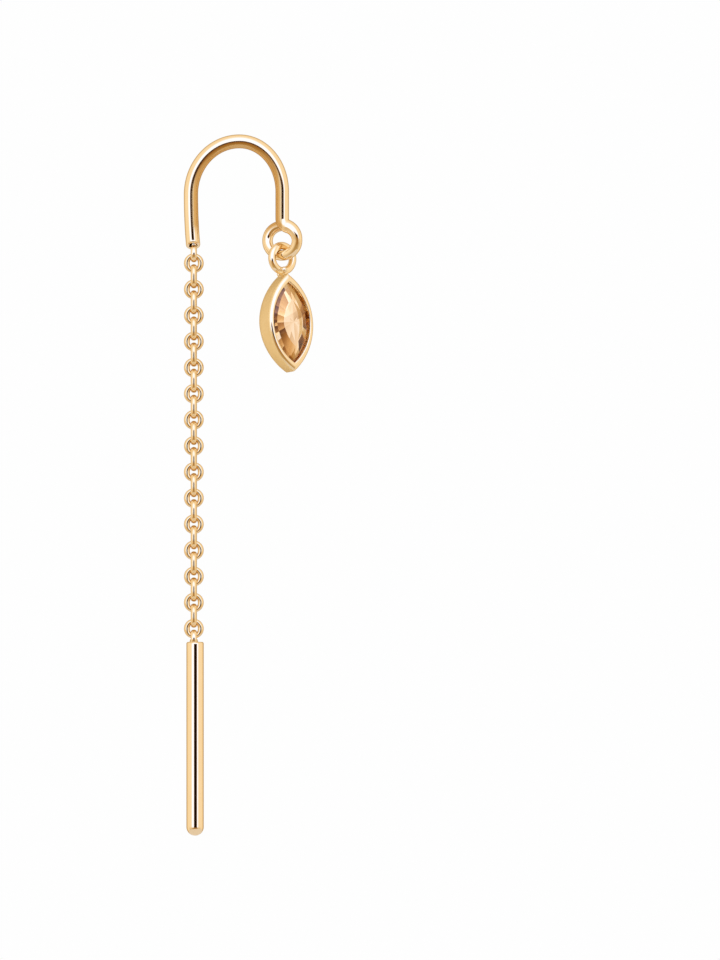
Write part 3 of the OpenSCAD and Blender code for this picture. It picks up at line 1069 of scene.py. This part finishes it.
def build_bar():
    bar = sizes("bar_sizes")
    chain = sizes("chain_sizes")
    eye_at = low_eye()
    radius = bar.diameter / 2
    top = eye_at.z + chain.eye_l / 2 - chain.eye_over_bar
    wall = bar.length - radius - bar.edge_r - 2 * SUPPORT
    piece = add(
        bpy.ops.mesh.primitive_cylinder_add, vertices=96, radius=radius, depth=wall,
        location=(eye_at.x + bar.offset, 0, top - bar.edge_r - SUPPORT - wall / 2),
    )
    edit(piece)
    for facing, profile in (
        (-1, quarter_round(radius, 24, share=0.97)), (1, quarter_round(bar.edge_r, 6)),
    ):
        pick(piece, lambda face: face.normal.z * facing > 0.9)
        extrude(0, 0, facing * SUPPORT)
        follow_profile(profile)
    collar = upright_cone(
        "collar", bar.collar_d / 2, bar.collar_top_d / 2, top, top + bar.collar_h, eye_at
    )
    edit(collar)
    select_whole()
    bpy.ops.transform.resize(value=(1, bar.collar_spread, 1), center_override=eye_at)
    piece = join("threader_bar", [piece, soldered_eye(eye_at), collar])
    smooth(piece)
    material = gold_material("Polished gold")
    finish_piece(piece, "dressed_bar", material, HANGING, "threader_bar")


def build_ring():
    """The ring with the solder between it and the setting."""
    drop = sizes("drop_sizes")
    ring = add(
        bpy.ops.mesh.primitive_torus_add, align="WORLD", rotation=(math.pi / 2, 0, drop.ring_yaw),
        major_segments=96, minor_segments=40, major_radius=drop.ring_r,
        minor_radius=drop.ring_d / 2,
    )
    ring.data.materials.append(gold_material("Polished gold"))
    smooth(ring, 60)
    beads = []
    for x, y, z, size in SOLDER_BEADS:
        bead = add(
            bpy.ops.mesh.primitive_uv_sphere_add, segments=40, ring_count=24,
            radius=size * drop.ring_r / 2, location=Vector((x, y, -z)) * drop.ring_r,
        )
        bead.data.materials.append(gold_material("Soldered gold"))
        smooth(bead, 60)
        place(bead, Matrix.Rotation(drop.setting_yaw, 4, "Z"))
        beads.append(bead)
    ring = join("ring", [ring] + beads)
    place(ring, hang_matrix())
    return ring


def build_setting_body():
    drop = sizes("drop_sizes")
    stone = sizes("stone_sizes")
    window = (drop.setting_l - 2 * drop.rim_tip, drop.setting_w - 2 * drop.rim_side)
    seat, opening = (
        (stone.length + 2 * wider, stone.width + 2 * wider)
        for wider in (stone.clearance, -drop.ledge)
    )
    seat_depth = drop.rim_t + rim_space() + stone.girdle_t + drop.seat_space
    body = marquise(
        "drop_setting", drop.setting_l, drop.setting_w, drop.rim_round,
        drop.depth - drop.back_round,
    )
    edit(body)
    pick(body, lambda face: face.normal.y > 0.9)
    follow_rim(
        [
            (inset * BACK_SIDE_SHARE, rise)
            for inset, rise in quarter_round(drop.back_round, 8)
        ],
        drop.setting_l, drop.setting_w, 1 / BACK_SIDE_SHARE, facing=1,
    )
    pick(body, lambda face: face.normal.y < -0.9)
    lip = [
        (drop.rim_side - inset, rise - drop.lip_round + drop.rim_round)
        for inset, rise in reversed(quarter_round(drop.lip_round, 4))
    ]
    follow_rim(
        quarter_round(drop.rim_round, 8) + lip, drop.setting_l, drop.setting_w,
        drop.rim_tip / drop.rim_side,
    )
    for name, outline, front, back in (
        ("window", window, -drop.rim_t, 2 * drop.rim_t),
        ("seat", seat, drop.rim_t, seat_depth),
        ("back", opening, drop.rim_t, drop.depth + drop.rim_t),
    ):
        cut_with(body, marquise(name, *outline, front, back))
    recalculate_normals(body)
    # The rim, and the walls round the stone in a lightened gold that paints light into the stone's
    # edge
    for finish in ("Satin gold", "Rim gold", "Bright gold"):
        body.data.materials.append(gold_material(finish))
    smooth(body, 50)
    for face in body.data.polygons:
        if face.center.y < drop.rim_t * 0.8:
            face.material_index = 1
        elif face.normal.x * face.center.x + face.normal.z * face.center.z < -0.1 * MM:
            face.material_index = 2
    place(body, setting_matrix())
    return body


def build_setting():
    setting = join("drop_setting", [build_setting_body(), build_ring()])
    finish_piece(setting, "dressed_setting", None, DROP, "drop_setting")


def build_stone():
    stone = sizes("stone_sizes")
    arc_r = (stone.length ** 2 + stone.width ** 2) / (4 * stone.width)
    piece = marquise(
        "stone", stone.length, stone.width, -stone.crown_h, stone.girdle_t + stone.pavilion_h
    )
    crown_slope = math.atan(stone.crown_h / (stone.width / 2 * (1 - stone.table)))
    pavilion_slope = math.atan(stone.pavilion_h / (stone.width / 2))
    edit(piece)
    for facets, slope, y, facing in (
        (CROWN_FACETS, crown_slope, 0, -1),
        (PAVILION_FACETS, pavilion_slope, stone.girdle_t, 1),
    ):
        for degrees, share, out in facets:
            azimuth = math.radians(degrees)
            tilt = slope * share
            at_tip = arc_r * math.sin(azimuth) > stone.length / 2
            x = 0 if at_tip else arc_r * math.cos(azimuth) - arc_r + stone.width / 2
            z = stone.length / 2 if at_tip else arc_r * math.sin(azimuth)
            # The main slope's depth there, so that an inner facet takes off only its ridge
            depth = (1 - out) * stone.width / 2 * math.tan(slope)
            left_right = {1, 1 if degrees == 90 else -1}
            up_down = {1, 1 if degrees == 0 else -1}
            for mirror_x, mirror_z in itertools.product(left_right, up_down):
                select_whole()
                bpy.ops.mesh.bisect(
                    plane_co=(mirror_x * x * out, y + facing * depth, mirror_z * z * out),
                    plane_no=(
                        mirror_x * math.sin(tilt) * math.cos(azimuth), facing * math.cos(tilt),
                        mirror_z * math.sin(tilt) * math.sin(azimuth),
                    ),
                    use_fill=True, clear_outer=True, threshold=NEAR,
                )
    recalculate_normals(piece)
    place(piece, stone_matrix())
    finish_piece(piece, "dressed_stone", champagne_stone(), DROP, "stone")


def build_floor():
    stage = sizes("stage_sizes")
    floor = add(
        bpy.ops.mesh.primitive_circle_add, vertices=128, radius=stage.floor_r, fill_type="NGON",
        location=(stage.centre_x, 0, stage.floor_z),
    )
    edit(floor)
    select_whole()
    extrude(0, 0, -stage.floor_t)
    recalculate_normals(floor)
    floor.name = "floor"
    floor.data.materials.append(floor_material())


def light_the_studio():
    """A white tent with a soft glow round the lens, a tan table below and the dark lens."""
    world = bpy.data.worlds.new("Studio tent")
    bpy.context.scene.world = world
    world.use_nodes = True
    sketch = Sketch(world.node_tree)
    direction = sketch.node("ShaderNodeTexCoord").outputs["Generated"]
    axes = sketch.axes(direction)
    height = axes["Z"]
    front = sketch.times(axes["Y"], -1.0)
    across = sketch.math("ABSOLUTE", axes["X"])
    tent = sketch.ramp(sketch.over(sketch.math("ARCCOSINE", front), math.pi), TENT)
    table = sketch.ramp(sketch.times(height, -1.0), TABLE)
    beside_table = sketch.times(sketch.step(across, *TABLE_SIDES), TABLE_FADE)
    in_front = sketch.times(sketch.step(front, *TABLE_FRONT), sketch.minus(1.0, beside_table))
    low = sketch.times(in_front, sketch.step(height, *TABLE_TOP))
    with_table = sketch.blend("MIX", low, tent, table)
    off_middle = sketch.plus(
        sketch.square(sketch.over(across, GLOW_WIDTH)),
        sketch.square(sketch.over(height, GLOW_HEIGHT)),
    )
    glow = sketch.times(
        sketch.step(off_middle, *GLOW_EDGE),
        sketch.times(sketch.step(height, *GLOW_LOW), sketch.step(front, *GLOW_FRONT)),
    )
    lit = sketch.blend("ADD", glow, with_table, GLOW)
    beside_lens = sketch.math("ABSOLUTE", sketch.minus(axes["X"], LENS_ACROSS))
    lens = sketch.times(
        sketch.times(sketch.step(beside_lens, *LENS_SIDES), sketch.step(front, *LENS_FRONT)),
        sketch.times(sketch.step(height, *LENS_LOW), sketch.step(height, *LENS_TOP)),
    )
    with_stand = sketch.blend("MIX", sketch.step(lens, *STAND_RIM), lit, STAND)
    dark = sketch.times(sketch.step(lens, *DARK_RIM), sketch.step(height, *DARK_LOW))
    with_lens = sketch.blend("MIX", dark, with_stand, DARK)
    cells = sketch.node(
        "ShaderNodeTexVoronoi",
        {"Vector": direction, "Scale": PANEL_SCALE, "Randomness": 1.0},
        feature="F1", distance="EUCLIDEAN",
    ).outputs["Color"]
    panel = sketch.node("ShaderNodeSeparateColor", {0: cells}).outputs[0]
    depth = sketch.ramp(sketch.times(sketch.plus(front, 1.0), 0.5), THROUGH)
    through = sketch.blend("MULTIPLY", 1.0, depth, sketch.ramp(panel, PANELS))
    path = sketch.node("ShaderNodeLightPath").outputs
    around = sketch.blend("MIX", path["Is Transmission Ray"], with_lens, through)
    shown = sketch.blend("MIX", path["Is Camera Ray"], around, BACKDROP)
    background = sketch.node("ShaderNodeBackground", {"Color": shown, "Strength": 1.0})
    sketch.node("ShaderNodeOutputWorld", {"Surface": background.outputs[0]})


def set_the_camera():
    stage = sizes("stage_sizes")
    bpy.ops.object.camera_add(
        location=(stage.centre_x, -stage.distance, stage.centre_z), rotation=(math.pi / 2, 0, 0)
    )
    camera = bpy.context.object
    camera.name = "camera"
    camera.data.type = "PERSP"
    camera.data.sensor_width = 36.0
    camera.data.lens = camera.data.sensor_width * stage.distance / stage.view_h
    camera.data.clip_start = 0.01
    camera.data.clip_end = 10.0
    bpy.context.scene.camera = camera


class EARRING_OT_stage(bpy.types.Operator):
    """Set up the floor, the studio light and the camera"""

    bl_idname = "earring.stage"
    bl_label = "Stage"

    def execute(self, context):
        build_floor()
        light_the_studio()
        set_the_camera()
        bpy.context.scene.view_settings.view_transform = "Standard"
        return {"FINISHED"}


class EARRING_OT_hook(bpy.types.Operator):
    """Bend the ear hook, cut its foot and solder the chain's eye into it"""

    bl_idname = "earring.hook"
    bl_label = "Ear hook"

    def execute(self, context):
        build_hook()
        return {"FINISHED"}


class EARRING_OT_chain(bpy.types.Operator):
    """Model a round and an oval link and copy them down the chain"""

    bl_idname = "earring.chain"
    bl_label = "Chain"

    def execute(self, context):
        build_chain()
        return {"FINISHED"}


class EARRING_OT_bar(bpy.types.Operator):
    """Turn the threader bar and solder its eye on"""

    bl_idname = "earring.bar"
    bl_label = "Threader bar"

    def execute(self, context):
        build_bar()
        return {"FINISHED"}


class EARRING_OT_setting(bpy.types.Operator):
    """Make the marquise setting with its ring"""

    bl_idname = "earring.setting"
    bl_label = "Marquise setting"

    def execute(self, context):
        build_setting()
        return {"FINISHED"}


class EARRING_OT_stone(bpy.types.Operator):
    """Cut the stone facet by facet"""

    bl_idname = "earring.stone"
    bl_label = "Stone"

    def execute(self, context):
        build_stone()
        return {"FINISHED"}


class EARRING_PT_panel(bpy.types.Panel):
    """Lists the earring's pieces in the order in which they are built"""

    bl_idname = "EARRING_PT_panel"
    bl_label = "Threader Earring"
    bl_space_type = "VIEW_3D"
    bl_region_type = "UI"
    bl_category = "Earring"

    def draw(self, context):
        for operator in OPERATORS:
            self.layout.operator(operator.bl_idname)
        for name in SIZE_GROUPS:
            box = self.layout.box()
            group = getattr(context.scene, name)
            for key in group.bl_rna.properties.keys():
                if key not in ("rna_type", "name"):
                    box.prop(group, key)


OPERATORS = (
    EARRING_OT_stage, EARRING_OT_hook, EARRING_OT_chain, EARRING_OT_bar, EARRING_OT_setting,
    EARRING_OT_stone,
)
SIZE_GROUPS = {
    "hook_sizes": HookSizes,
    "chain_sizes": ChainSizes,
    "bar_sizes": BarSizes,
    "drop_sizes": DropSizes,
    "stone_sizes": StoneSizes,
    "finishes": Finishes,
    "stage_sizes": StageSizes,
}


def register():
    for name, group in SIZE_GROUPS.items():
        bpy.utils.register_class(group)
        setattr(bpy.types.Scene, name, bpy.props.PointerProperty(type=group))
    for operator in OPERATORS:
        bpy.utils.register_class(operator)
    bpy.utils.register_class(EARRING_PT_panel)


def unregister():
    bpy.utils.unregister_class(EARRING_PT_panel)
    for operator in reversed(OPERATORS):
        bpy.utils.unregister_class(operator)
    for name, group in SIZE_GROUPS.items():
        delattr(bpy.types.Scene, name)
        bpy.utils.unregister_class(group)


def main():
    register()
    for build in (
        bpy.ops.earring.stage, bpy.ops.earring.hook, bpy.ops.earring.chain, bpy.ops.earring.bar,
        bpy.ops.earring.setting, bpy.ops.earring.stone,
    ):
        build()


if __name__ == "__main__":
    main()
